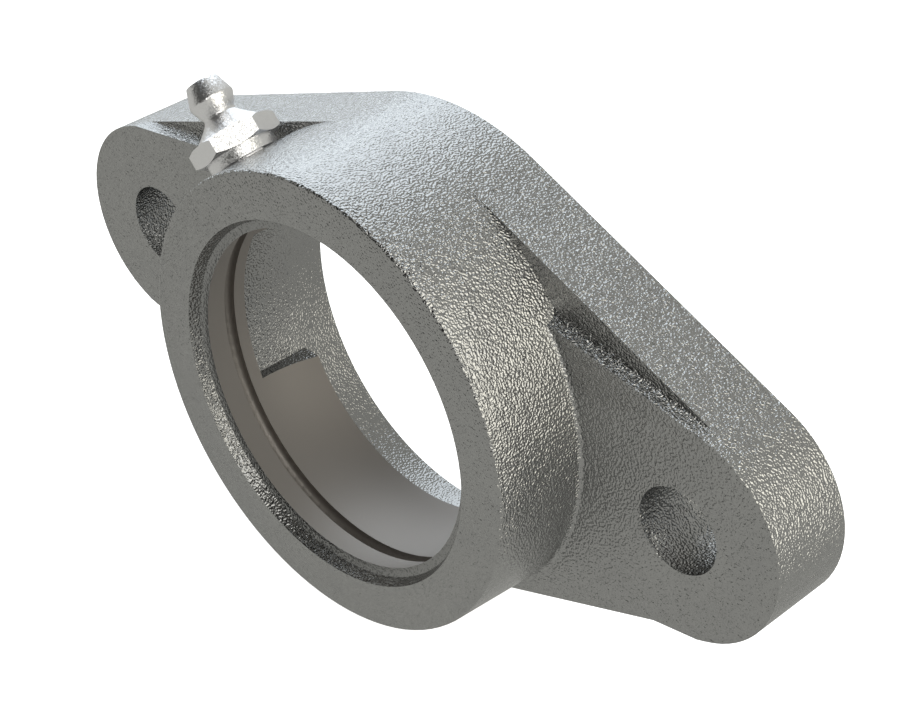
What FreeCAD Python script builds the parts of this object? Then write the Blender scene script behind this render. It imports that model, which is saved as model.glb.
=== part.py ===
import FreeCAD, Part
import math
import os

# Two-bolt flange housing for a size 205 insert bearing, with its grease nipple.
# The housing is drawn with its bore upright: x along the two bolts, y toward the
# nipple side, z from the mounting face to the front. turn_to_frame() then lays
# the bore along Y, so that the front faces -Y and the nipple side faces up.
# The nipple is drawn upright by itself, with height 0 at the underside of its
# hexagon. All lengths are in millimetres and all angles in degrees.

# Bore: the seat is a sphere of the bearing's outer diameter
SEAT_R = 26.0
SEAT_CENTRE_Z = 16.0
SEAT_REAR_REACH = 8.34
SEAT_FRONT_REACH = 8.77
LIP_DEPTH = 1.85
LIP_INSET = 0.45
LIP_CORNER = 0.6
LIP_EDGE_R = 0.75
RECESS_STEP = 2.4
RECESS_DRAFT = 0.55
GROOVE_OFFSET = 3.95
GROOVE_WIDTH = 2.0
GROOVE_DEPTH = 1.3
SLOT_WIDTH = 24.0
SLOT_DEPTH = 1.3
SLOT_REACH = 0.95

# Boss around the bearing
BOSS_WALL = 7.0
BOSS_DRAFT = 0.73
BOSS_EDGE_R = 0.45
ROOT_FILLET = 0.7
# The small cast rounds of the boss's edges are turned in this many straight steps
ROUND_STEPS = 3

# Flange
BOLT_SPACING = 99.0
BOLT_HOLE_R = 6.1
EAR_WALL = 9.4
FLANGE_THICKNESS = 10.87
FLANGE_DRAFT = 0.32
PAD_RISE = 1.86
PAD_TOP_SLOPE = 10.0
PAD_FOOT_WIDTH = 0.45
PAD_FOOT_SPREAD = 1.5
# Pad walls: pairs of the share of the rise and the share of the foot's width there
PAD_FLARE = ((0.0, 1.0), (0.15, 0.55), (0.4, 0.22), (1.0, 0.0))

# Grease nipple
NIPPLE_ANGLE = 45.0
HEX_CLEARANCE = 0.68
HEX_STANDOFF = 1.95
HEX_FLATS = 11.1
HEX_HEIGHT = 2.25
HEX_CHAMFER = 0.65
THREAD_R = 4.95
THREAD_LENGTH = 4.85
TAPPED_EXTRA = 0.4
MOUTH_CHAMFER = 0.5
PASSAGE_R = 3.0
FLARE_INSET = 0.45
NECK_WALL = 0.85
NECK_RISE = 2.5
# Neck: pairs of the share of the flare's width left and the share of the rise there
NECK_FLARE = ((0.62, 0.3), (0.3, 0.62), (0.09, 0.87), (0.0, 1.0))
NECK_STRAIGHT = 0.3
HEAD_FOOT_WIDTH = 0.2
HEAD_FOOT_HEIGHT = 0.3
HEAD_STEP = 0.85
HEAD_CONE = 1.65
HEAD_BAND = 0.3
CROWN_STEP = 0.95
CROWN_CONE = 2.65

# Valve inside the nipple
VALVE_BORE_R = 1.5
BALL_GAP = 0.3
BALL_SEAT_CLEARANCE = 0.01
INLET_R = 0.85
INLET_LENGTH = 1.0
SEAT_CONE = 0.8
RETAINER_R = 0.9
RETAINER_THICKNESS = 0.8
SPRING_WIRE_R = 0.2
SPRING_GAP = 0.1
SPRING_TURNS = 6
SPRING_SIDES = 8

# How far a cutting solid runs past the faces it opens
OVERRUN = 1.0

# Sizes worked out from those above
SEAT_REAR_Z = SEAT_CENTRE_Z - SEAT_REAR_REACH
SEAT_FRONT_Z = SEAT_CENTRE_Z + SEAT_FRONT_REACH
DEPTH = SEAT_FRONT_Z + LIP_DEPTH
BOSS_R_FRONT = SEAT_R + BOSS_WALL
MIDDLE_R_STEP = BOSS_R_FRONT + BOSS_DRAFT
MIDDLE_R_REAR = MIDDLE_R_STEP + FLANGE_DRAFT
EAR_R = BOLT_HOLE_R + EAR_WALL
PAD_HEIGHT = FLANGE_THICKNESS + PAD_RISE
# The pads start deep inside the boss, at half its radius
PAD_ROOT_X = MIDDLE_R_STEP / 2
NIPPLE_Z = FLANGE_THICKNESS + HEX_CLEARANCE + HEX_FLATS / 2
NECK_R = VALVE_BORE_R + NECK_WALL
NECK_HEIGHT = HEX_HEIGHT + NECK_RISE
HEAD_R = NECK_R + HEAD_STEP
HEAD_LOW = NECK_HEIGHT + NECK_STRAIGHT + HEAD_FOOT_HEIGHT + HEAD_CONE
CROWN_HEIGHT = HEAD_LOW + HEAD_BAND + CROWN_CONE
BALL_R = VALVE_BORE_R - BALL_GAP
INLET_HEIGHT = CROWN_HEIGHT - INLET_LENGTH


def point(x, y, z=0.0):
    return FreeCAD.Vector(x, y, z)


def line(a, b):
    return Part.LineSegment(a, b).toShape()


def arc(a, middle, b):
    return Part.Arc(a, middle, b).toShape()


def chain(points):
    return [line(a, b) for a, b in zip(points, points[1:])]


def small_round(centre, radius, from_angle, to_angle):
    """Points, as (radius, height), of a rounded edge about a centre of the outline."""
    points = []
    for i in range(ROUND_STEPS + 1):
        angle = math.radians(from_angle + (to_angle - from_angle) * i / ROUND_STEPS)
        points.append((centre[0] + radius * math.cos(angle), centre[1] + radius * math.sin(angle)))
    return points


def turned(points):
    """Solid of revolution about z from a closed list of (radius, height) points."""
    corners = [point(r, 0.0, z) for r, z in points]
    outline = Part.makePolygon(corners + [corners[0]])
    return Part.Face(outline).revolve(point(0, 0), point(0, 0, 1), 360)


# Flange and pads

def corner_angle():
    """Direction, from either centre, of the points where a straight side is tangent."""
    return math.acos((MIDDLE_R_STEP - EAR_R) / (BOLT_SPACING / 2))


def ear_corner():
    half = BOLT_SPACING / 2
    return half + EAR_R * math.cos(corner_angle()), EAR_R * math.sin(corner_angle())


def flange_outline(middle_r, z):
    """Round middle and two round ears, joined by straight sides."""
    mx = middle_r * math.cos(corner_angle())
    my = middle_r * math.sin(corner_angle())
    ex, ey = ear_corner()
    end = BOLT_SPACING / 2 + EAR_R
    edges = [line(point(mx, my, z), point(ex, ey, z))]
    edges.append(arc(point(ex, ey, z), point(end, 0, z), point(ex, -ey, z)))
    edges.append(line(point(ex, -ey, z), point(mx, -my, z)))
    edges.append(arc(point(mx, -my, z), point(0, -middle_r, z), point(-mx, -my, z)))
    edges.append(line(point(-mx, -my, z), point(-ex, -ey, z)))
    edges.append(arc(point(-ex, -ey, z), point(-end, 0, z), point(-ex, ey, z)))
    edges.append(line(point(-ex, ey, z), point(-mx, my, z)))
    edges.append(arc(point(-mx, my, z), point(0, middle_r, z), point(mx, my, z)))
    return Part.Wire(edges)


def flange():
    rear = flange_outline(MIDDLE_R_REAR, 0.0)
    step = flange_outline(MIDDLE_R_STEP, FLANGE_THICKNESS)
    return Part.makeLoft([rear, step], True, True)


def pad_outline(side, width_share, z):
    """Two sides that touch the ear's round, spread inward, and run past its end."""
    slope = math.radians(PAD_TOP_SLOPE + PAD_FOOT_SPREAD * width_share)
    reach = (EAR_R + PAD_FOOT_WIDTH * width_share) / math.cos(slope)
    half = BOLT_SPACING / 2
    corners = []
    for x in (PAD_ROOT_X, half + EAR_R + OVERRUN):
        corners.append(point(side * x, reach + (half - x) * math.tan(slope), z))
    corners += [point(c.x, -c.y, z) for c in reversed(corners)]
    return Part.makePolygon(corners + [corners[0]])


def pad(side):
    """Raised pad round one bolt. Its walls flare toward their foot, as a cast root
    does, and stop where the flange's own wall rises."""
    outlines = []
    for rise_share, width_share in PAD_FLARE:
        outlines.append(pad_outline(side, width_share, FLANGE_THICKNESS + PAD_RISE * rise_share))
    step = Part.Face(flange_outline(MIDDLE_R_STEP, FLANGE_THICKNESS))
    return Part.makeLoft(outlines, True, True).common(step.extrude(point(0, 0, PAD_RISE)))


def boss():
    """Slightly conical boss with a rounded edge round its front face."""
    outline = [(0, FLANGE_THICKNESS), (MIDDLE_R_STEP, FLANGE_THICKNESS)]
    edge_z = DEPTH - BOSS_EDGE_R
    outline += small_round((boss_radius(edge_z) - BOSS_EDGE_R, edge_z), BOSS_EDGE_R, 0, 90)
    outline.append((0, DEPTH))
    return turned(outline)


def boss_radius(z):
    share = (z - FLANGE_THICKNESS) / (DEPTH - FLANGE_THICKNESS)
    return MIDDLE_R_STEP - BOSS_DRAFT * share


# The bore

def seat_point(z):
    return point(math.sqrt(SEAT_R ** 2 - (z - SEAT_CENTRE_Z) ** 2), 0, z)


def seat_arc(z_from, z_to):
    """Part of the spherical seat's outline, between two heights."""
    return arc(seat_point(z_from), seat_point((z_from + z_to) / 2), seat_point(z_to))


def rear_recess():
    """Cored recess behind the seat, with draft toward the mounting face."""
    step_r = SEAT_R + RECESS_STEP
    rear_r = step_r + RECESS_DRAFT
    points = [point(0, 0, -OVERRUN), point(rear_r, 0, -OVERRUN), point(rear_r, 0, 0)]
    points += [point(step_r, 0, SEAT_REAR_Z), seat_point(SEAT_REAR_Z)]
    return chain(points)


def grease_groove():
    rear_z = SEAT_CENTRE_Z + GROOVE_OFFSET - GROOVE_WIDTH / 2
    front_z = rear_z + GROOVE_WIDTH
    floor_rear = point(SEAT_R + GROOVE_DEPTH, 0, rear_z)
    floor_front = point(SEAT_R + GROOVE_DEPTH, 0, front_z)
    edges = [seat_arc(SEAT_REAR_Z, rear_z)]
    edges += chain([seat_point(rear_z), floor_rear, floor_front, seat_point(front_z)])
    edges.append(seat_arc(front_z, SEAT_FRONT_Z))
    return edges


def front_lip():
    """Cast counterbore in front of the seat: hollow corner, wall and rounded edge."""
    wall_r = SEAT_R - LIP_INSET
    edge_r = wall_r + LIP_EDGE_R
    outline = [(wall_r - LIP_CORNER, SEAT_FRONT_Z), (wall_r, SEAT_FRONT_Z + LIP_CORNER)]
    outline += small_round((edge_r, DEPTH - LIP_EDGE_R), LIP_EDGE_R, 180, 90)
    top = DEPTH + OVERRUN
    outline += [(edge_r, top), (0, top), (0, -OVERRUN)]
    return chain([seat_point(SEAT_FRONT_Z)] + [point(r, 0, z) for r, z in outline])


def bore():
    """Everything turned or cored inside the boss, as one solid to cut away."""
    outline = Part.Wire(rear_recess() + grease_groove() + front_lip())
    return Part.Face(outline).revolve(point(0, 0), point(0, 0, 1), 360)


def loading_slots():
    """Two opposed slots, open to the rear, that let the bearing in edge on."""
    slot_r = SEAT_R + SLOT_DEPTH
    height = SEAT_CENTRE_Z + SLOT_REACH + OVERRUN
    corner = point(-slot_r, -SLOT_WIDTH / 2, -OVERRUN)
    block = Part.makeBox(2 * slot_r, SLOT_WIDTH, height, corner)
    return block.common(Part.makeCylinder(slot_r, height, point(0, 0, -OVERRUN)))


def bolt_hole(side):
    bottom = point(side * BOLT_SPACING / 2, 0, -OVERRUN)
    return Part.makeCylinder(BOLT_HOLE_R, PAD_HEIGHT + 2 * OVERRUN, bottom)


# Placing

def hexagon_radius():
    """Distance from the bore's axis to the underside of the nipple's hexagon."""
    return boss_radius(NIPPLE_Z) + HEX_STANDOFF


def place_nipple(shape):
    """Stands a shape of the nipple's own drawing on its place on the boss."""
    placed = shape.copy()
    placed.translate(point(0, 0, hexagon_radius()))
    placed.rotate(point(0, 0), point(1, 0, 0), -90)
    placed.rotate(point(0, 0), point(0, 0, 1), NIPPLE_ANGLE)
    placed.translate(point(0, 0, NIPPLE_Z))
    return placed


def turn_to_frame(shape):
    laid = shape.copy()
    laid.rotate(point(0, 0), point(1, 0, 0), 90)
    return laid


# The housing

def grease_hole():
    """Tapped hole for the nipple with its passage into the seat's groove."""
    tapped_bottom = thread_bottom() - TAPPED_EXTRA
    tapped = Part.makeCylinder(THREAD_R, -tapped_bottom, point(0, 0, tapped_bottom))
    passage_end = SEAT_R / 2 - hexagon_radius()
    passage_length = tapped_bottom + TAPPED_EXTRA - passage_end
    passage = Part.makeCylinder(PASSAGE_R, passage_length, point(0, 0, passage_end))
    mouth_bottom = point(0, 0, -HEX_STANDOFF - MOUTH_CHAMFER)
    mouth = Part.makeCone(THREAD_R, THREAD_R + 2 * MOUTH_CHAMFER, 2 * MOUTH_CHAMFER, mouth_bottom)
    return place_nipple(tapped.fuse([passage, mouth]))


def edge_middle(edge):
    return edge.valueAt((edge.FirstParameter + edge.LastParameter) / 2)


def is_root_edge(edge):
    """True for the concave edges where the boss stands on the pads."""
    box = edge.BoundBox
    middle = edge_middle(edge)
    level = abs(box.ZMin - PAD_HEIGHT) < 0.01 and abs(box.ZMax - PAD_HEIGHT) < 0.01
    return level and abs(math.hypot(middle.x, middle.y) - boss_radius(PAD_HEIGHT)) < 0.05


def housing():
    body = flange().fuse([pad(-1), pad(1), boss()]).removeSplitter()
    body = body.cut([bore(), loading_slots(), bolt_hole(-1), bolt_hole(1)])
    body = body.makeFillet(ROOT_FILLET, [e for e in body.Edges if is_root_edge(e)])
    return body.cut(grease_hole())


# The nipple and its valve

def thread_bottom():
    return -HEX_STANDOFF - THREAD_LENGTH


def retainer_top():
    return thread_bottom() + RETAINER_THICKNESS


def hexagon():
    """Six-sided prism whose upper corners are turned off at 30 degrees."""
    corner_r = HEX_FLATS / math.sqrt(3)
    corners = []
    for i in range(7):
        angle = math.radians(60 * i)
        corners.append(point(corner_r * math.cos(angle), corner_r * math.sin(angle)))
    prism = Part.Face(Part.makePolygon(corners)).extrude(point(0, 0, HEX_HEIGHT))
    top_r = corner_r - HEX_CHAMFER
    return prism.common(Part.makeCone(top_r + HEX_HEIGHT * math.sqrt(3), top_r, HEX_HEIGHT))


def nipple_head():
    """Flare, neck and double-coned head that the grease coupler grips."""
    flare_r = HEX_FLATS / 2 - FLARE_INSET
    outline = [(0, HEX_HEIGHT / 2), (flare_r, HEX_HEIGHT / 2), (flare_r, HEX_HEIGHT)]
    for width_share, rise_share in NECK_FLARE:
        radius = NECK_R + (flare_r - NECK_R) * width_share
        outline.append((radius, HEX_HEIGHT + NECK_RISE * rise_share))
    foot = NECK_HEIGHT + NECK_STRAIGHT
    outline.append((NECK_R, foot))
    outline.append((NECK_R + HEAD_FOOT_WIDTH, foot + HEAD_FOOT_HEIGHT))
    outline.append((HEAD_R, HEAD_LOW))
    outline.append((HEAD_R, HEAD_LOW + HEAD_BAND))
    outline.append((HEAD_R - CROWN_STEP, CROWN_HEIGHT))
    outline.append((0, CROWN_HEIGHT))
    return turned(outline)


def valve_bore():
    """Inlet, ball seat, valve bore and the turned-in retainer below the spring."""
    bottom = thread_bottom() - OVERRUN
    top = CROWN_HEIGHT + OVERRUN
    outline = [(0, bottom), (RETAINER_R, bottom), (RETAINER_R, retainer_top())]
    outline.append((VALVE_BORE_R, retainer_top()))
    outline.append((VALVE_BORE_R, INLET_HEIGHT - SEAT_CONE))
    outline.append((INLET_R, INLET_HEIGHT))
    outline += [(INLET_R, top), (0, top)]
    return turned(outline)


def grease_nipple():
    shank_length = HEX_HEIGHT / 2 - thread_bottom()
    shank = Part.makeCylinder(THREAD_R, shank_length, point(0, 0, thread_bottom()))
    return shank.fuse([hexagon(), nipple_head()]).removeSplitter().cut(valve_bore())


def ball_height():
    """Height of the ball's centre when it lies on its conical seat."""
    half_angle = math.atan((VALVE_BORE_R - INLET_R) / SEAT_CONE)
    apex = INLET_HEIGHT + INLET_R / math.tan(half_angle)
    return apex - (BALL_R + BALL_SEAT_CLEARANCE) / math.sin(half_angle)


def check_ball():
    return Part.makeSphere(BALL_R, point(0, 0, ball_height()))


def wire_section(centre, along):
    """Outline of the spring's wire, with a few sides, square to the coil."""
    outward = point(centre.x, centre.y)
    outward.normalize()
    upward = along.cross(outward)
    corners = []
    for i in range(SPRING_SIDES + 1):
        angle = 2 * math.pi * i / SPRING_SIDES
        corners.append(centre + (outward * math.cos(angle) + upward * math.sin(angle)) * SPRING_WIRE_R)
    return Part.makePolygon(corners)


def nipple_spring():
    """Wire coiled from the retainer up to the ball's underside."""
    coil_r = VALVE_BORE_R - SPRING_GAP - SPRING_WIRE_R
    reach = BALL_R + SPRING_WIRE_R + BALL_SEAT_CLEARANCE
    bottom = retainer_top() + SPRING_WIRE_R
    length = ball_height() - math.sqrt(reach ** 2 - coil_r ** 2) - bottom
    path = Part.Wire(Part.makeHelix(length / SPRING_TURNS, length, coil_r).Edges)
    start = path.Edges[0]
    section = wire_section(start.valueAt(start.FirstParameter), start.tangentAt(start.FirstParameter))
    wire = path.makePipeShell([section], True, True)
    wire.translate(point(0, 0, bottom))
    return wire


def export(name, shape):
    turn_to_frame(shape).exportStep("parts/" + name + ".step")
    print(name, "volume", round(shape.Volume, 2), "solids", len(shape.Solids), "valid", shape.isValid())


os.makedirs("parts", exist_ok=True)
export("housing", housing())
export("grease_nipple", place_nipple(grease_nipple()))
export("check_ball", place_nipple(check_ball()))
export("nipple_spring", place_nipple(nipple_spring()))
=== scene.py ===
# %% [markdown]
# The bare part
#
# This is a two-bolt flange housing for a bearing: one iron casting that is
# bolted to a wall, with a spherical seat machined into its bore and a grease
# nipple screwed into its boss. The solids are already modelled and packed, so
# the first step loads them. They arrive in metres, each at its own place, and
# everything that follows is built around them and measured in the same frame:
# X along the two bolts, -Y out of the bore at the front, Z up.

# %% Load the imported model
import math

import bpy
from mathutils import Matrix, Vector


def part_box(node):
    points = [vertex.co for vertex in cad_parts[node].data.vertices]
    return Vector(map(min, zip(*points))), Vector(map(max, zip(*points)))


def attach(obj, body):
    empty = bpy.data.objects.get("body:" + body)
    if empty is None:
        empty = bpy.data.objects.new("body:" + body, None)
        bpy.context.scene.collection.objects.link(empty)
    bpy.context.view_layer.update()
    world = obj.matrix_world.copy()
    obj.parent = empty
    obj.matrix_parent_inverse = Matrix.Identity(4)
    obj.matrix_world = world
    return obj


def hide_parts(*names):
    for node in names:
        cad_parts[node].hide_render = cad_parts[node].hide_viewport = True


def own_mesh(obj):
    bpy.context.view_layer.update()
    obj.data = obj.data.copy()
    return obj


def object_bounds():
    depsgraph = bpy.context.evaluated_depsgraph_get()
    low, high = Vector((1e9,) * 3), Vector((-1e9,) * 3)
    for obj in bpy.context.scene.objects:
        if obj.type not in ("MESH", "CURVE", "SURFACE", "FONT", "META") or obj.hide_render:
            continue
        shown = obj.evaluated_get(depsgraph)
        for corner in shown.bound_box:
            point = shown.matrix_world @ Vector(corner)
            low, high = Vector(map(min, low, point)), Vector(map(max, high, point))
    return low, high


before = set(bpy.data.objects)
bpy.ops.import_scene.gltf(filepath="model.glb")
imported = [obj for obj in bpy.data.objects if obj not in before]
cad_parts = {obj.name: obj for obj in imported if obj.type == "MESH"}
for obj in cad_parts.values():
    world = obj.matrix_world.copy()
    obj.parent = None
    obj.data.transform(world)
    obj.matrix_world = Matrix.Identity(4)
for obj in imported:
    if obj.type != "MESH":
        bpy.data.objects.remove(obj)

MM = 0.001
cad_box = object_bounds()
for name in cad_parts:
    low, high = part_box(name)
    print(name, "mm from", [round(v / MM, 1) for v in low], "to", [round(v / MM, 1) for v in high])

# %% [markdown]
# The camera
#
# The picture is matched before any surface is dressed, so the camera comes
# first. The outlines of the flange, the bore and the bolt holes were fitted
# with the bolts 99 mm apart, and that fit gives one place in metres, one turn
# in degrees and one lens in millimetres. It looks from the front, from the
# right and from above.

# %% Place the camera
CAMERA_PLACE = (0.178398, -0.179914, 0.173979)
CAMERA_TURN = (54.6445, 0.0688, 45.0848)
CAMERA_LENS = 89.497
SENSOR_WIDTH = 36.0
NEAREST_SEEN = 0.01


def add_camera():
    data = bpy.data.cameras.new("camera")
    data.lens = CAMERA_LENS
    data.sensor_width = SENSOR_WIDTH
    data.clip_start = NEAREST_SEEN
    camera = bpy.data.objects.new("camera", data)
    bpy.context.collection.objects.link(camera)
    camera.location = CAMERA_PLACE
    camera.rotation_euler = [math.radians(a) for a in CAMERA_TURN]
    bpy.context.scene.camera = camera
    return camera


camera = add_camera()
print("camera", [round(v / MM) for v in camera.location], "mm, lens", CAMERA_LENS)

# %% [markdown]
# The lamps
#
# Bare metal shows mostly what it mirrors, so the light is part of the finish.
# One large cool softbox stands at the left behind the part, one warm softbox
# stands at its right, and a smaller one hangs over the camera for the nipple's
# flats. Each is placed by the direction it shines from and sized by the angles
# that it fills, because those decide what the metal mirrors. The walls that
# lean toward a softbox turn bright.

# %% Light the studio
LAMP_DISTANCE = 0.8


def direction(azimuth, elevation):
    """Unit vector from the part, with azimuth in degrees from +X toward +Y."""
    a, e = math.radians(azimuth), math.radians(elevation)
    return Vector((math.cos(e) * math.cos(a), math.cos(e) * math.sin(a), math.sin(e)))


def softbox(name, azimuth, elevation, half_angles, radiance):
    """Rectangular lamp, given by the angles that it fills in degrees and its brightness."""
    data = bpy.data.lights.new(name, "AREA")
    data.shape = "RECTANGLE"
    data.size, data.size_y = [2 * LAMP_DISTANCE * math.tan(math.radians(a)) for a in half_angles]
    brightness = max(radiance)
    data.energy = brightness * math.pi * data.size * data.size_y
    data.color = [c / brightness for c in radiance]
    lamp = bpy.data.objects.new(name, data)
    bpy.context.collection.objects.link(lamp)
    lamp.location = LAMP_DISTANCE * direction(azimuth, elevation)
    lamp.rotation_euler = direction(azimuth, elevation).to_track_quat("Z", "Y").to_euler()
    lamp.visible_camera = False
    print(name, "stands at", [round(v, 2) for v in lamp.location], "with", round(data.energy, 2), "W")


softbox("cool_softbox", azimuth=150, elevation=30, half_angles=(27, 34), radiance=(1.15, 1.28, 1.41))
softbox("warm_softbox", azimuth=3, elevation=21, half_angles=(20, 26), radiance=(1.83, 1.76, 1.53))
softbox("top_softbox", azimuth=322, elevation=50, half_angles=(17, 13), radiance=(1.6, 1.58, 1.5))

# %% [markdown]
# The room
#
# Between the lamps the metal mirrors the room: a quiet, even grey, which is all
# that the flat front faces show. The side to the left of the camera is dark, as
# it often is in a real studio, so the walls that mirror it turn dark as well.
# The camera itself sees plain white in place of the room.

# %% Light the room
ROOM_GREY = (0.46, 0.46, 0.431, 1)
WHITE = (1, 1, 1, 1)
DARK_SHARE = 0.92
DARK_PLACE = (250, 42)
DARK_UP_TO = 38
GREY_FROM = 44


def dark_side(nodes, links):
    """1 in the cone of directions round the dark side, fading to 0 at its edge."""
    coords = nodes.new("ShaderNodeTexCoord")
    toward = nodes.new("ShaderNodeVectorMath")
    toward.operation = "DOT_PRODUCT"
    toward.inputs[1].default_value = direction(*DARK_PLACE)
    links.new(coords.outputs["Generated"], toward.inputs[0])
    fade = nodes.new("ShaderNodeMapRange")
    fade.interpolation_type = "SMOOTHSTEP"
    fade.inputs["From Min"].default_value = math.cos(math.radians(GREY_FROM))
    fade.inputs["From Max"].default_value = math.cos(math.radians(DARK_UP_TO))
    links.new(toward.outputs["Value"], fade.inputs["Value"])
    return fade.outputs[0]


def room_light():
    """Grey room with one dark side, and plain white where the camera sees it."""
    world = bpy.data.worlds.new("room")
    world.use_nodes = True
    bpy.context.scene.world = world
    nodes, links = world.node_tree.nodes, world.node_tree.links
    nodes.clear()
    lit = nodes.new("ShaderNodeMath")
    lit.operation = "MULTIPLY_ADD"
    links.new(dark_side(nodes, links), lit.inputs[0])
    lit.inputs[1].default_value = -DARK_SHARE
    lit.inputs[2].default_value = 1.0
    light = nodes.new("ShaderNodeBackground")
    light.inputs["Color"].default_value = ROOM_GREY
    links.new(lit.outputs[0], light.inputs["Strength"])
    plain = nodes.new("ShaderNodeBackground")
    plain.inputs["Color"].default_value = WHITE
    path = nodes.new("ShaderNodeLightPath")
    mix = nodes.new("ShaderNodeMixShader")
    links.new(path.outputs["Is Camera Ray"], mix.inputs["Fac"])
    links.new(light.outputs[0], mix.inputs[1])
    links.new(plain.outputs[0], mix.inputs[2])
    out = nodes.new("ShaderNodeOutputWorld")
    links.new(mix.outputs[0], out.inputs["Surface"])
    return world


room = room_light()
bpy.context.scene.view_settings.view_transform = "Standard"
print("room of grey", ROOM_GREY[:3], "made of", len(room.node_tree.nodes), "nodes")

# %% [markdown]
# The floor
#
# A plain pale sheet lies just under the part's lowest point. It gives off light
# of its own, so it stays white, and it is hidden from glossy rays, so the metal
# mirrors the room's grey from below.

# %% Lay the floor
FLOOR_WIDTH = 6.0
FLOOR_GAP = 0.064 * MM
FLOOR_PALE = (0.9, 0.9, 0.9, 1)
FLOOR_ROUGHNESS = 0.9


def add_floor():
    bpy.ops.object.select_all(action="DESELECT")
    bpy.ops.mesh.primitive_plane_add(size=FLOOR_WIDTH, location=(0, 0, cad_box[0][2] - FLOOR_GAP))
    floor = bpy.context.object
    floor.name = "floor"
    floor.visible_glossy = False
    material = bpy.data.materials.new("pale_floor")
    material.use_nodes = True
    shader = material.node_tree.nodes["Principled BSDF"]
    shader.inputs["Base Color"].default_value = FLOOR_PALE
    shader.inputs["Roughness"].default_value = FLOOR_ROUGHNESS
    shader.inputs["Emission Color"].default_value = WHITE
    shader.inputs["Emission Strength"].default_value = 1.0
    floor.data.materials.append(material)
    return floor


floor = add_floor()
print("floor at", round(floor.location.z / MM, 2), "mm")

# %% [markdown]
# Helpers for node materials
#
# Every finish below is made of nodes that read the Object coordinates, which
# on these pieces are the part's own metres, so a grain can be given its real
# size. A small helper keeps the recipes short: each line of a recipe adds a
# node or two and says what feeds them.

# %% Node helpers
class Recipe:
    """A material's node tree, written one step to a line."""

    def __init__(self, name):
        self.material = bpy.data.materials.new(name)
        self.material.use_nodes = True
        self.tree = self.material.node_tree
        self.shader = self.tree.nodes["Principled BSDF"]

    def feed(self, socket, value):
        """Links a node's output to a socket, or sets the socket to a plain value."""
        if isinstance(value, bpy.types.NodeSocket):
            self.tree.links.new(value, socket)
        elif value is not None:
            socket.default_value = value

    def math(self, operation, a, b=None, c=None):
        node = self.tree.nodes.new("ShaderNodeMath")
        node.operation = operation
        for socket, value in zip(node.inputs, (a, b, c)):
            self.feed(socket, value)
        return node.outputs[0]

    def between(self, value, low, high):
        """1 where low < value < high, else 0."""
        above = self.math("GREATER_THAN", value, low)
        return self.math("MULTIPLY", above, self.math("LESS_THAN", value, high))

    def vector(self, operation, a, b=None):
        node = self.tree.nodes.new("ShaderNodeVectorMath")
        node.operation = operation
        for socket, value in zip(node.inputs, (a, b)):
            self.feed(socket, value)
        return node.outputs[0]

    def place_mm(self):
        """Object coordinates in millimetres."""
        coords = self.tree.nodes.new("ShaderNodeTexCoord")
        return self.vector("MULTIPLY", coords.outputs["Object"], (1 / MM, 1 / MM, 1 / MM))

    def split(self, vector):
        node = self.tree.nodes.new("ShaderNodeSeparateXYZ")
        self.tree.links.new(vector, node.inputs[0])
        return node.outputs

    def noise(self, vector, size_mm, detail=2.0):
        node = self.tree.nodes.new("ShaderNodeTexNoise")
        self.tree.links.new(vector, node.inputs["Vector"])
        node.inputs["Scale"].default_value = 1 / size_mm
        node.inputs["Detail"].default_value = detail
        return node.outputs["Fac"]

    def mix_value(self, share, a, b):
        node = self.tree.nodes.new("ShaderNodeMix")
        for key, value in (("Factor", share), ("A", a), ("B", b)):
            self.feed(node.inputs[key], value)
        return node.outputs["Result"]

    def mix_colour(self, share, a, b):
        node = self.tree.nodes.new("ShaderNodeMix")
        node.data_type = "RGBA"
        for key, value in (("Factor", share), ("A", a), ("B", b)):
            self.feed(node.inputs[key], value)
        return node.outputs["Result"]

    def bump(self, height_mm):
        """Shades the surface as if it stood this many millimetres higher."""
        node = self.tree.nodes.new("ShaderNodeBump")
        node.inputs["Distance"].default_value = MM
        self.tree.links.new(height_mm, node.inputs["Height"])
        self.tree.links.new(node.outputs[0], self.shader.inputs["Normal"])

    def flakes(self, vector, size_mm, tilt):
        """Leans every small cell its own way: by its random colour, less a half."""
        cells = self.tree.nodes.new("ShaderNodeTexVoronoi")
        self.tree.links.new(vector, cells.inputs["Vector"])
        cells.inputs["Scale"].default_value = 1 / size_mm
        lean = self.vector("SUBTRACT", cells.outputs["Color"], (0.5, 0.5, 0.5))
        lean = self.vector("MULTIPLY", lean, (tilt, tilt, tilt))
        surface = self.tree.nodes.new("ShaderNodeNewGeometry").outputs["Normal"]
        leaned = self.vector("NORMALIZE", self.vector("ADD", surface, lean))
        self.tree.links.new(leaned, self.shader.inputs["Normal"])

    def metal(self, colour, roughness):
        """Finishes the recipe as a metal and returns its material."""
        self.feed(self.shader.inputs["Base Color"], colour)
        self.feed(self.shader.inputs["Roughness"], roughness)
        self.shader.inputs["Metallic"].default_value = 1.0
        print(self.material.name, "made of", len(self.tree.nodes), "nodes")
        return self.material


# %% [markdown]
# The casting
#
# The housing is a sand casting, so its skin is a hammered, leathery grain,
# except inside the bore, where a lathe cut the spherical seat and its grease
# groove smooth. Apart from the lip and the groove, its solid already has the
# right shape. So its mesh is copied, the doubled corners of its loose triangles
# are merged, and the copy is worked on.

# %% Model the casting
DOUBLED_WITHIN = 0.001 * MM


def select_only(*pieces):
    bpy.ops.object.select_all(action="DESELECT")
    for piece in pieces:
        piece.select_set(True)
    bpy.context.view_layer.objects.active = pieces[0]


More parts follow.
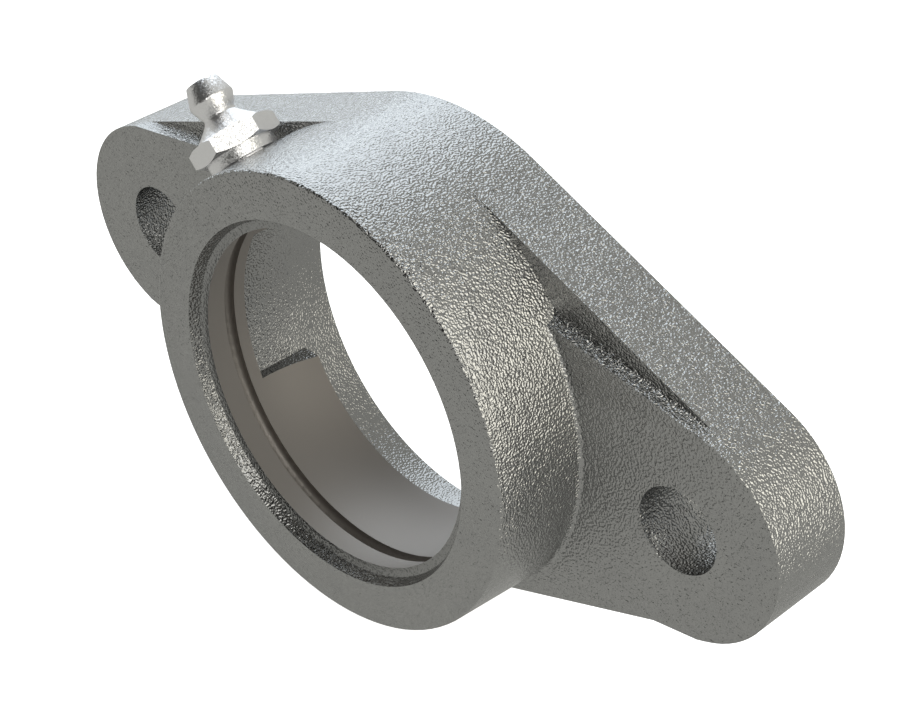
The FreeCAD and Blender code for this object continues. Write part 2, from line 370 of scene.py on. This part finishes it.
def merged_copy(node, name):
    """Own copy of a node's mesh with its doubled corners merged."""
    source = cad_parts[node]
    piece = bpy.data.objects.new(name, source.data.copy())
    bpy.context.collection.objects.link(piece)
    select_only(piece)
    bpy.ops.object.mode_set(mode="EDIT")
    bpy.ops.mesh.select_all(action="SELECT")
    bpy.ops.mesh.remove_doubles(threshold=DOUBLED_WITHIN)
    bpy.ops.object.mode_set(mode="OBJECT")
    bpy.ops.mesh.customdata_custom_splitnormals_clear()
    piece.data.materials.clear()
    return piece


casting = merged_copy("housing", "casting")
print("casting", len(casting.data.vertices), "points", len(casting.data.polygons), "faces")

# %% [markdown]
# The lip of the bore
#
# In front of the seat the bore opens in a rough cast lip. On the real part it
# is a flat step beside the seat and then a wall that flares to the front face,
# with no even radius anywhere. The solid keeps this simple, so here its rings
# of points are moved by up to 0.9 mm, ring by ring: each is selected by its
# radius and depth, scaled about the bore's axis and slid along it.

# %% Shape the lip
# Radius and depth of each ring in mm, before and after.
LIP_RINGS = (
    ((25.55, 25.37), (25.2, 24.8)),
    ((25.55, 25.87), (25.72, 25.0)),
    ((25.65, 26.245), (25.92, 25.55)),
    ((25.925, 26.52), (26.13, 26.1)),
    ((26.3, 26.62), (26.34, 26.62)),
)
RING_TOLERANCE = 0.02


def ring_points(mesh, radius, depth):
    """Points of one ring round the bore's axis, given in mm."""
    found = []
    for v in mesh.vertices:
        off = math.hypot(v.co.x / MM, v.co.z / MM) - radius
        if abs(off) < RING_TOLERANCE and abs(-v.co.y / MM - depth) < RING_TOLERANCE:
            found.append(v.index)
    return found


def select_none(piece):
    """Makes a piece active, with none of its points, edges or faces selected."""
    select_only(piece)
    bpy.ops.object.mode_set(mode="EDIT")
    bpy.ops.mesh.select_all(action="DESELECT")
    bpy.ops.object.mode_set(mode="OBJECT")


def shape_lip(piece):
    rings = [ring_points(piece.data, *before) for before, _ in LIP_RINGS]
    for (before, after), points in zip(LIP_RINGS, rings):
        select_none(piece)
        for i in points:
            piece.data.vertices[i].select = True
        bpy.ops.object.mode_set(mode="EDIT")
        grow = after[0] / before[0]
        bpy.ops.transform.resize(value=(grow, 1, grow), center_override=(0, 0, 0))
        bpy.ops.transform.translate(value=(0, (before[1] - after[1]) * MM, 0))
        bpy.ops.object.mode_set(mode="OBJECT")
    print("lip rings moved, with", [len(points) for points in rings], "points")


shape_lip(casting)

# %% [markdown]
# The grease groove
#
# The groove in the seat was cut with a round-nosed tool, so its floor is
# hollow and the light fades across it. The two inner corners of the solid's
# square groove are picked out edge by edge and bevelled in several steps, which
# leaves its width and its depth as they are. Then the casting is shaded smooth
# wherever two faces meet at less than a cast edge's angle.

# %% Round the groove
SEAT_R = 26.0
SEAT_CENTRE = -16.0
GROOVE_R = SEAT_R + 1.3
GROOVE_REAR = SEAT_CENTRE - 2.95
GROOVE_FRONT = GROOVE_REAR - 2.0
GROOVE_ROUND = 0.92
ROUND_STEPS = 5
CAST_SMOOTH_UP_TO = math.radians(32)


def round_groove(piece):
    before = len(piece.data.polygons)
    select_none(piece)
    corners = [set(ring_points(piece.data, GROOVE_R, -y)) for y in (GROOVE_REAR, GROOVE_FRONT)]
    for edge in piece.data.edges:
        edge.select = any(corner.issuperset(edge.vertices) for corner in corners)
    picked = sum(edge.select for edge in piece.data.edges)
    bpy.ops.object.mode_set(mode="EDIT")
    bpy.ops.mesh.select_mode(type="EDGE")
    bpy.ops.mesh.bevel(offset=GROOVE_ROUND * MM, segments=ROUND_STEPS)
    bpy.ops.mesh.select_mode(type="VERT")
    bpy.ops.object.mode_set(mode="OBJECT")
    print("groove rounded along", picked, "edges, with", len(piece.data.polygons) - before, "new faces")


round_groove(casting)
bpy.ops.object.shade_smooth_by_angle(angle=CAST_SMOOTH_UP_TO)

# %% [markdown]
# Four surfaces of one casting
#
# One block of iron carries four finishes: the skin that the sand left outside,
# the skin that a core left inside the bore, which is also given a darker colour
# as painted shade, the seat that a lathe turned, and the mounting face that was
# milled flat. They could be painted on by hand. Here all but the first have a
# mask instead, made of a few math nodes, that is 1 on the surface and 0
# elsewhere, because the radius from the bore's axis and the depth already say
# where a cutter or the core was.

# %% Say where the cutters went
SEAT_REAR = SEAT_CENTRE + 8.34
SEAT_FRONT = SEAT_CENTRE - 8.77
SLOT_HALF = 12.0
SLOT_END = SEAT_CENTRE - 0.95
INSIDE_R = 29.2
FRONT_FACE = cad_box[0][1] / MM
MARGIN = 0.01


def turned_place(recipe, place):
    """Radius from the bore's axis, depth and height of a point."""
    x, y, z = recipe.split(place)
    squares = [recipe.math("MULTIPLY", v, v) for v in (x, z)]
    return recipe.math("SQRT", recipe.math("ADD", *squares)), y, z


def turned_mask(recipe, place):
    """1 where the lathe cut: the seat, but not the slots' side walls, and its groove."""
    radius, y, z = turned_place(recipe, place)
    seat = recipe.between(y, SEAT_FRONT + MARGIN, SEAT_REAR - MARGIN)
    seat = recipe.math("MULTIPLY", seat, recipe.math("LESS_THAN", radius, SEAT_R + MARGIN))
    from_wall = recipe.math("SUBTRACT", recipe.math("ABSOLUTE", z), SLOT_HALF)
    wall = recipe.math("LESS_THAN", recipe.math("ABSOLUTE", from_wall), MARGIN)
    wall = recipe.math("MULTIPLY", wall, recipe.math("GREATER_THAN", y, SLOT_END))
    seat = recipe.math("MULTIPLY", seat, recipe.math("SUBTRACT", 1.0, wall))
    groove = recipe.between(y, GROOVE_FRONT - MARGIN, GROOVE_REAR + MARGIN)
    groove = recipe.math("MULTIPLY", groove, recipe.math("LESS_THAN", radius, GROOVE_R + MARGIN))
    return recipe.math("MAXIMUM", seat, groove)


def inside_mask(recipe, place):
    """1 on all that lies inside the bore: the lip, the slots and the recess as well as the seat."""
    radius, y, _ = turned_place(recipe, place)
    inside = recipe.math("LESS_THAN", radius, INSIDE_R)
    return recipe.math("MULTIPLY", inside, recipe.math("GREATER_THAN", y, FRONT_FACE + MARGIN))


def milled_mask(recipe, place):
    """1 on the mounting face, which lies at depth 0."""
    return recipe.math("GREATER_THAN", recipe.split(place)[1], -MARGIN)


print("seat turned from", SEAT_FRONT, "to", SEAT_REAR, "mm, front face at", round(FRONT_FACE, 2), "mm")

# %% [markdown]
# Grains, rings and marks
#
# Sand leaves round grains, a third of a millimetre apart, that mirror the lamps
# from one side each. A smooth noise of that size, used as height, gives them,
# and a weaker noise half as large breaks them up. Inside the bore the grains
# stand lower. The lathe left fine rings round the bore, and the milling cutter
# left straight, shallow marks along the flange. Forms so small would need
# millions of faces, so they are heights for a Bump node, which only turns the
# light. All the sizes and heights are in millimetres.

# %% Give each surface its height
GRAIN_SIZE = 0.3
FINE_SIZE = 0.55 * GRAIN_SIZE
FINE_SHARE = 0.2
GRAIN_HEIGHT = 0.2
INSIDE_HEIGHT = 0.13
RING_SIZE = 0.16
RING_HEIGHT = 0.0016
MILLING_SIZE = 0.6
MILLING_STRETCH = 25.0
MILLING_DETAIL = 3.0
MILLING_HEIGHT = 0.03


def cast_skin(recipe, place):
    """Round grains, which stand lower inside the bore."""
    coarse = recipe.noise(place, GRAIN_SIZE, detail=0.0)
    fine = recipe.noise(place, FINE_SIZE, detail=0.0)
    grains = recipe.math("MULTIPLY_ADD", fine, FINE_SHARE, coarse)
    height = recipe.mix_value(inside_mask(recipe, place), GRAIN_HEIGHT, INSIDE_HEIGHT)
    return recipe.math("MULTIPLY", grains, height)


def turned_rings(recipe, place):
    """Rings round the bore: a noise that changes with the depth alone."""
    depth_only = recipe.vector("MULTIPLY", place, (0.0, 1.0, 0.0))
    return recipe.math("MULTIPLY", recipe.noise(depth_only, RING_SIZE), RING_HEIGHT)


def milled_marks(recipe, place):
    """Straight marks: a noise that is stretched along the flange."""
    stretched = recipe.vector("MULTIPLY", place, (1 / MILLING_STRETCH, 1.0, 1.0))
    return recipe.noise(stretched, MILLING_SIZE, detail=MILLING_DETAIL)


# %% [markdown]
# Cast iron
#
# A metal has no colour of its own under its mirrored light, so its base colour
# tints what it mirrors. A slow noise lets that vary a little over the skin.
# Inside the bore the base colour is darker: painted shade for the recess, whose
# walls hide much of the room. The iron is also darker, warmer and much duller
# where the lathe cut. On the milled face the noise that gives the marks their
# height also gives them lighter and darker streaks.

# %% Cast iron finish
TONE_SIZE = 5.0
IRON_DARK = (0.413, 0.413, 0.413, 1)
IRON_LIGHT = (0.457, 0.457, 0.452, 1)
# Darker base colour inside the bore: painted shade for the recess.
IRON_PAINTED_SHADE = (0.345, 0.345, 0.343, 1)
TURNED_IRON = (0.37, 0.345, 0.325, 1)
MILLED_DARK = (0.3, 0.295, 0.29, 1)
MILLED_LIGHT = (0.64, 0.635, 0.63, 1)
CAST_ROUGHNESS = 0.19
TURNED_ROUGHNESS = 0.55
MILLED_ROUGHNESS = 0.36


def cast_iron():
    recipe = Recipe("cast_iron")
    place = recipe.place_mm()
    turned = turned_mask(recipe, place)
    milled = milled_mask(recipe, place)
    marks = milled_marks(recipe, place)
    height = recipe.mix_value(turned, cast_skin(recipe, place), turned_rings(recipe, place))
    recipe.bump(recipe.mix_value(milled, height, recipe.math("MULTIPLY", marks, MILLING_HEIGHT)))
    tone = recipe.noise(place, TONE_SIZE)
    colour = recipe.mix_colour(tone, IRON_DARK, IRON_LIGHT)
    # Painted shade: everything inside the bore gets the darker base colour.
    colour = recipe.mix_colour(inside_mask(recipe, place), colour, IRON_PAINTED_SHADE)
    colour = recipe.mix_colour(turned, colour, TURNED_IRON)
    colour = recipe.mix_colour(milled, colour, recipe.mix_colour(marks, MILLED_DARK, MILLED_LIGHT))
    roughness = recipe.mix_value(turned, CAST_ROUGHNESS, TURNED_ROUGHNESS)
    roughness = recipe.mix_value(milled, roughness, MILLED_ROUGHNESS)
    return recipe.metal(colour, roughness)


casting.data.materials.append(cast_iron())
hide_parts("housing")
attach(casting, "housing")

# %% [markdown]
# The nipple's drawing
#
# A grease nipple is turned from six-sided steel bar, and it can be modelled as
# it is made. It is easiest to draw upright and to stand on its place at the
# end, so these helpers keep one frame for the nipple, with height 0 at the
# underside of its hexagon. turn() does a lathe's work: it spins a closed
# outline round the axis, merges the seam and makes the faces point outwards.

# %% Helpers for turned pieces
NIPPLE_PLACE = (-25.025, -17.1, 25.025)
NIPPLE_LEAN = math.radians(-45)
TURNING_STEPS = 96


def apply_modifier(piece, kind, **settings):
    select_only(piece)
    modifier = piece.modifiers.new(kind.lower(), kind)
    for key, value in settings.items():
        setattr(modifier, key, value)
    bpy.ops.object.modifier_apply(modifier=modifier.name)


def outline_piece(name, outline):
    """A closed outline of (radius, height) points in mm, as an object of edges."""
    ring = [(i, (i + 1) % len(outline)) for i in range(len(outline))]
    mesh = bpy.data.meshes.new(name)
    mesh.from_pydata([(r * MM, 0.0, h * MM) for r, h in outline], ring, [])
    piece = bpy.data.objects.new(name, mesh)
    bpy.context.collection.objects.link(piece)
    return piece


def make_solid(piece):
    """Merges doubled points and turns every face outwards."""
    select_only(piece)
    bpy.ops.object.mode_set(mode="EDIT")
    bpy.ops.mesh.select_all(action="SELECT")
    bpy.ops.mesh.remove_doubles(threshold=DOUBLED_WITHIN)
    bpy.ops.mesh.normals_make_consistent(inside=False)
    bpy.ops.object.mode_set(mode="OBJECT")


def turn(name, outline):
    piece = outline_piece(name, outline)
    select_only(piece)
    bpy.ops.object.mode_set(mode="EDIT")
    bpy.ops.mesh.select_all(action="SELECT")
    bpy.ops.mesh.spin(steps=TURNING_STEPS, angle=2 * math.pi, center=(0, 0, 0), axis=(0, 0, 1))
    bpy.ops.object.mode_set(mode="OBJECT")
    make_solid(piece)
    return piece


def stand_on_boss(piece):
    """Moves a piece from the nipple's own frame to its place on the boss."""
    select_only(piece)
    piece.rotation_euler = (0, NIPPLE_LEAN, 0)
    piece.location = [v * MM for v in NIPPLE_PLACE]
    bpy.ops.object.transform_apply(location=True, rotation=True, scale=True)


# %% [markdown]
# The nipple's blank
#
# The outline runs up the outside, over the head and back down through the
# inlet and the valve bore. The concave neck is the one free curve: its points
# crowd together where it turns upright, so that it shades evenly. The widest
# band is the bar itself, turned down at 30 degrees above and below.

# %% Turn the nipple's blank
HEX_FLATS = 11.1
HEX_R = HEX_FLATS / math.sqrt(3)
HEX_HEIGHT = 2.25
TURNED_ABOVE = 0.65
TURNED_BELOW = 0.85
CHAMFER_SLOPE = math.tan(math.radians(30))
SHANK_R = 4.95
SHANK_END = -6.8
CORE_R = 4.3
FLARE_R = 5.1
NECK_R = 2.35
NECK_HEIGHT = 4.75
NECK_SHARES = (1.0, 0.88, 0.76, 0.64, 0.52, 0.4, 0.3, 0.2, 0.12, 0.06, 0.02, 0.0)
HEAD_R = 3.2
HEAD_TOP = 9.95
INLET_R = 0.85
VALVE_R = 1.5
SHOULDER = -6.0
SHOULDER_R = 0.9


def neck_point(share):
    """Point of the concave neck, from 1 at the hexagon to 0 under the head."""
    radius = NECK_R + (FLARE_R - NECK_R) * share ** 2.5
    return radius, NECK_HEIGHT - (NECK_HEIGHT - HEX_HEIGHT) * share ** 2


def nipple_outline():
    underside = -TURNED_BELOW * CHAMFER_SLOPE
    shank = [(SHOULDER_R, SHANK_END), (CORE_R, SHANK_END), (CORE_R, -2.6), (SHANK_R, -2.05)]
    bar = [(SHANK_R, underside), (HEX_R - TURNED_BELOW, underside), (HEX_R, 0.0)]
    bar += [(HEX_R, HEX_HEIGHT - TURNED_ABOVE * CHAMFER_SLOPE), (HEX_R - TURNED_ABOVE, HEX_HEIGHT)]
    neck = [neck_point(share) for share in NECK_SHARES]
    head = [(NECK_R, 5.05), (2.42, 5.2), (2.56, 5.38), (3.18, 6.95), (HEAD_R, 7.06), (HEAD_R, 7.22)]
    head += [(3.17, 7.36), (2.33, 9.78), (2.24, 9.9), (2.1, HEAD_TOP)]
    inlet = [(1.0, HEAD_TOP), (INLET_R, 9.8), (INLET_R, 8.95)]
    valve = [(VALVE_R, 8.15), (VALVE_R, SHOULDER), (SHOULDER_R, SHOULDER)]
    return shank + bar + neck + head + inlet + valve


nipple = turn("nipple", nipple_outline())
print("turned blank", len(nipple.data.vertices), "points")

# %% [markdown]
# Six flats
#
# A six-sided bar as wide as the spanner flats is cut through the round blank,
# and only what lies inside both is kept. The flats meet the two turned cones in
# the curved edges that every machined hexagon has, without one of those curves
# being drawn.

# %% Cut the six flats
BAR_LENGTH = 40.0
BAR_TURN = math.radians(30)


def cut_flats(piece):
    bpy.ops.object.select_all(action="DESELECT")
    bpy.ops.mesh.primitive_cylinder_add(
        vertices=6, radius=HEX_R * MM, depth=BAR_LENGTH * MM, rotation=(0, 0, BAR_TURN)
    )
    bar = bpy.context.object
    apply_modifier(piece, "BOOLEAN", operation="INTERSECT", solver="EXACT", object=bar)
    bpy.data.objects.remove(bar)
    make_solid(piece)


cut_flats(nipple)
print("after the flats", len(nipple.data.polygons), "faces")

# %% [markdown]
# The thread
#
# A thread is one ridge that climbs round the shank. The Screw modifier makes
# it from a single outline of the ridge: each turn lifts it by the pitch. The
# ridge's foot stands inside the shank's core, so no gap shows between them, and
# its two ends are closed with a face each.

# %% Cut the thread
PITCH = 1.0
THREAD_TURNS = 4
THREAD_STEPS = 64
RIDGE_START = -6.3
RIDGE_SUNK = 0.1
RIDGE_FOOT = 0.42
RIDGE_CREST = 0.06
TURNED_SMOOTH_UP_TO = math.radians(18)


def thread_ridge():
    heights = (-RIDGE_FOOT, -RIDGE_CREST, RIDGE_CREST, RIDGE_FOOT)
    radii = (CORE_R - RIDGE_SUNK, SHANK_R, SHANK_R, CORE_R - RIDGE_SUNK)
    ridge = outline_piece("thread", [(r, RIDGE_START + h) for r, h in zip(radii, heights)])
    apply_modifier(
        ridge, "SCREW", axis="Z", screw_offset=PITCH * MM, iterations=THREAD_TURNS,
        steps=THREAD_STEPS, render_steps=THREAD_STEPS,
    )
    bpy.ops.object.mode_set(mode="EDIT")
    bpy.ops.mesh.select_all(action="SELECT")
    bpy.ops.mesh.fill_holes(sides=4)
    bpy.ops.object.mode_set(mode="OBJECT")
    make_solid(ridge)
    return ridge


ridge = thread_ridge()
select_only(nipple, ridge)
bpy.ops.object.join()
stand_on_boss(nipple)
bpy.ops.object.shade_smooth_by_angle(angle=TURNED_SMOOTH_UP_TO)
print("nipple", len(nipple.data.polygons), "faces")

# %% [markdown]
# Nickel plate
#
# The nipple is nickel plated over turned steel. Plate mirrors its room far more
# than bare iron does, so its base colour is almost white. It was plated in a
# barrel, where the pieces knock together, and that leaves tiny flat spots that
# each lean their own way. A Voronoi texture has one random colour in each cell,
# and here that colour is used as the direction in which the cell leans.

# %% Nickel finish
FLAKE_SIZE = 0.14
FLAKE_TILT = 0.26
PLATE_TONE_SIZE = 1.5
PLATE_DARK = (0.93, 0.925, 0.94, 1)
PLATE_LIGHT = (0.97, 0.965, 0.98, 1)
PLATE_ROUGHNESS = 0.32


def plated_steel():
    recipe = Recipe("nickel_plate")
    place = recipe.place_mm()
    recipe.flakes(place, FLAKE_SIZE, FLAKE_TILT)
    tone = recipe.noise(place, PLATE_TONE_SIZE)
    return recipe.metal(recipe.mix_colour(tone, PLATE_DARK, PLATE_LIGHT), PLATE_ROUGHNESS)


nipple.data.materials.append(plated_steel())
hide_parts("grease_nipple")
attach(nipple, "housing")

# %% [markdown]
# The spring
#
# The spring that shuts the valve is round wire, wound on a mandrel: its end
# coils lie closed, one wire beside the next, and the coils between stand open.
# A curve with a round bevel is the natural way to make wire. Only its height
# needs thought: it climbs slowly in the first and the last turn and quickly
# between them.

# %% Wind the spring
WIRE_R = 0.2
WIRE_BEVEL_STEPS = 3
WIRE_SMOOTH_UP_TO = math.radians(50)
COIL_R = 1.2
SPRING_FOOT = SHOULDER + WIRE_R
SPRING_TOP = 7.337
TURNS = 8
CLOSED_RISE = 0.43
POINTS_A_TURN = 40


def climb(turn):
    """Height above the foot, with one closed turn at either end."""
    rise = SPRING_TOP - SPRING_FOOT
    if turn <= 1:
        return CLOSED_RISE * turn
    if turn >= TURNS - 1:
        return rise - CLOSED_RISE * (TURNS - turn)
    share = (turn - 1) / (TURNS - 2)
    return CLOSED_RISE + (rise - 2 * CLOSED_RISE) * share


def wound_spring():
    curve = bpy.data.curves.new("spring", "CURVE")
    curve.dimensions = "3D"
    curve.bevel_depth = WIRE_R * MM
    curve.bevel_resolution = WIRE_BEVEL_STEPS
    curve.use_fill_caps = True
    count = TURNS * POINTS_A_TURN + 1
    wire = curve.splines.new("POLY")
    wire.points.add(count - 1)
    for i in range(count):
        turn = i / POINTS_A_TURN
        angle = 2 * math.pi * turn
        x, y = COIL_R * math.cos(angle), COIL_R * math.sin(angle)
        wire.points[i].co = (x * MM, y * MM, (SPRING_FOOT + climb(turn)) * MM, 1)
    piece = bpy.data.objects.new("spring", curve)
    bpy.context.collection.objects.link(piece)
    select_only(piece)
    bpy.ops.object.convert(target="MESH")
    return bpy.context.object


spring = wound_spring()
make_solid(spring)
stand_on_boss(spring)
bpy.ops.object.shade_smooth_by_angle(angle=WIRE_SMOOTH_UP_TO)
print("spring", len(spring.data.polygons), "faces")

# %% [markdown]
# Drawn wire and a polished ball
#
# Spring wire is pulled through a die, which leaves it darker than plate, with a
# fine grain. The ball is ground and polished, so it is the one part with hardly
# any grain. Both are the same recipe with different numbers. The ball's solid
# is already a true ball and stays: only its finish changes.

# %% Spring and ball finishes
GRAINS_A_TONE = 6


def fine_steel(name, dark, light, grain_size, grain_height, roughness):
    """Steel with a fine grain, and a colour that changes over several grains."""
    recipe = Recipe(name)
    place = recipe.place_mm()
    grain = recipe.noise(place, grain_size)
    recipe.bump(recipe.math("MULTIPLY", grain, grain_height))
    tone = recipe.noise(place, GRAINS_A_TONE * grain_size)
    return recipe.metal(recipe.mix_colour(tone, dark, light), roughness)


drawn_wire = fine_steel(
    "drawn_wire", dark=(0.42, 0.42, 0.43, 1), light=(0.6, 0.6, 0.6, 1),
    grain_size=0.08, grain_height=0.01, roughness=0.3,
)
polished_ball = fine_steel(
    "polished_ball", dark=(0.7, 0.7, 0.71, 1), light=(0.78, 0.78, 0.78, 1),
    grain_size=0.1, grain_height=0.0006, roughness=0.08,
)
spring.data.materials.append(drawn_wire)
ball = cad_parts["check_ball"]
ball.data.materials.clear()
ball.data.materials.append(polished_ball)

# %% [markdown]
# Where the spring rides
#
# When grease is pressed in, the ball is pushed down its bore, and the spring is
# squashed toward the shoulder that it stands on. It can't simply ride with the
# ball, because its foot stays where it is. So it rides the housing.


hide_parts("nipple_spring")
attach(spring, "housing")
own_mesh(spring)
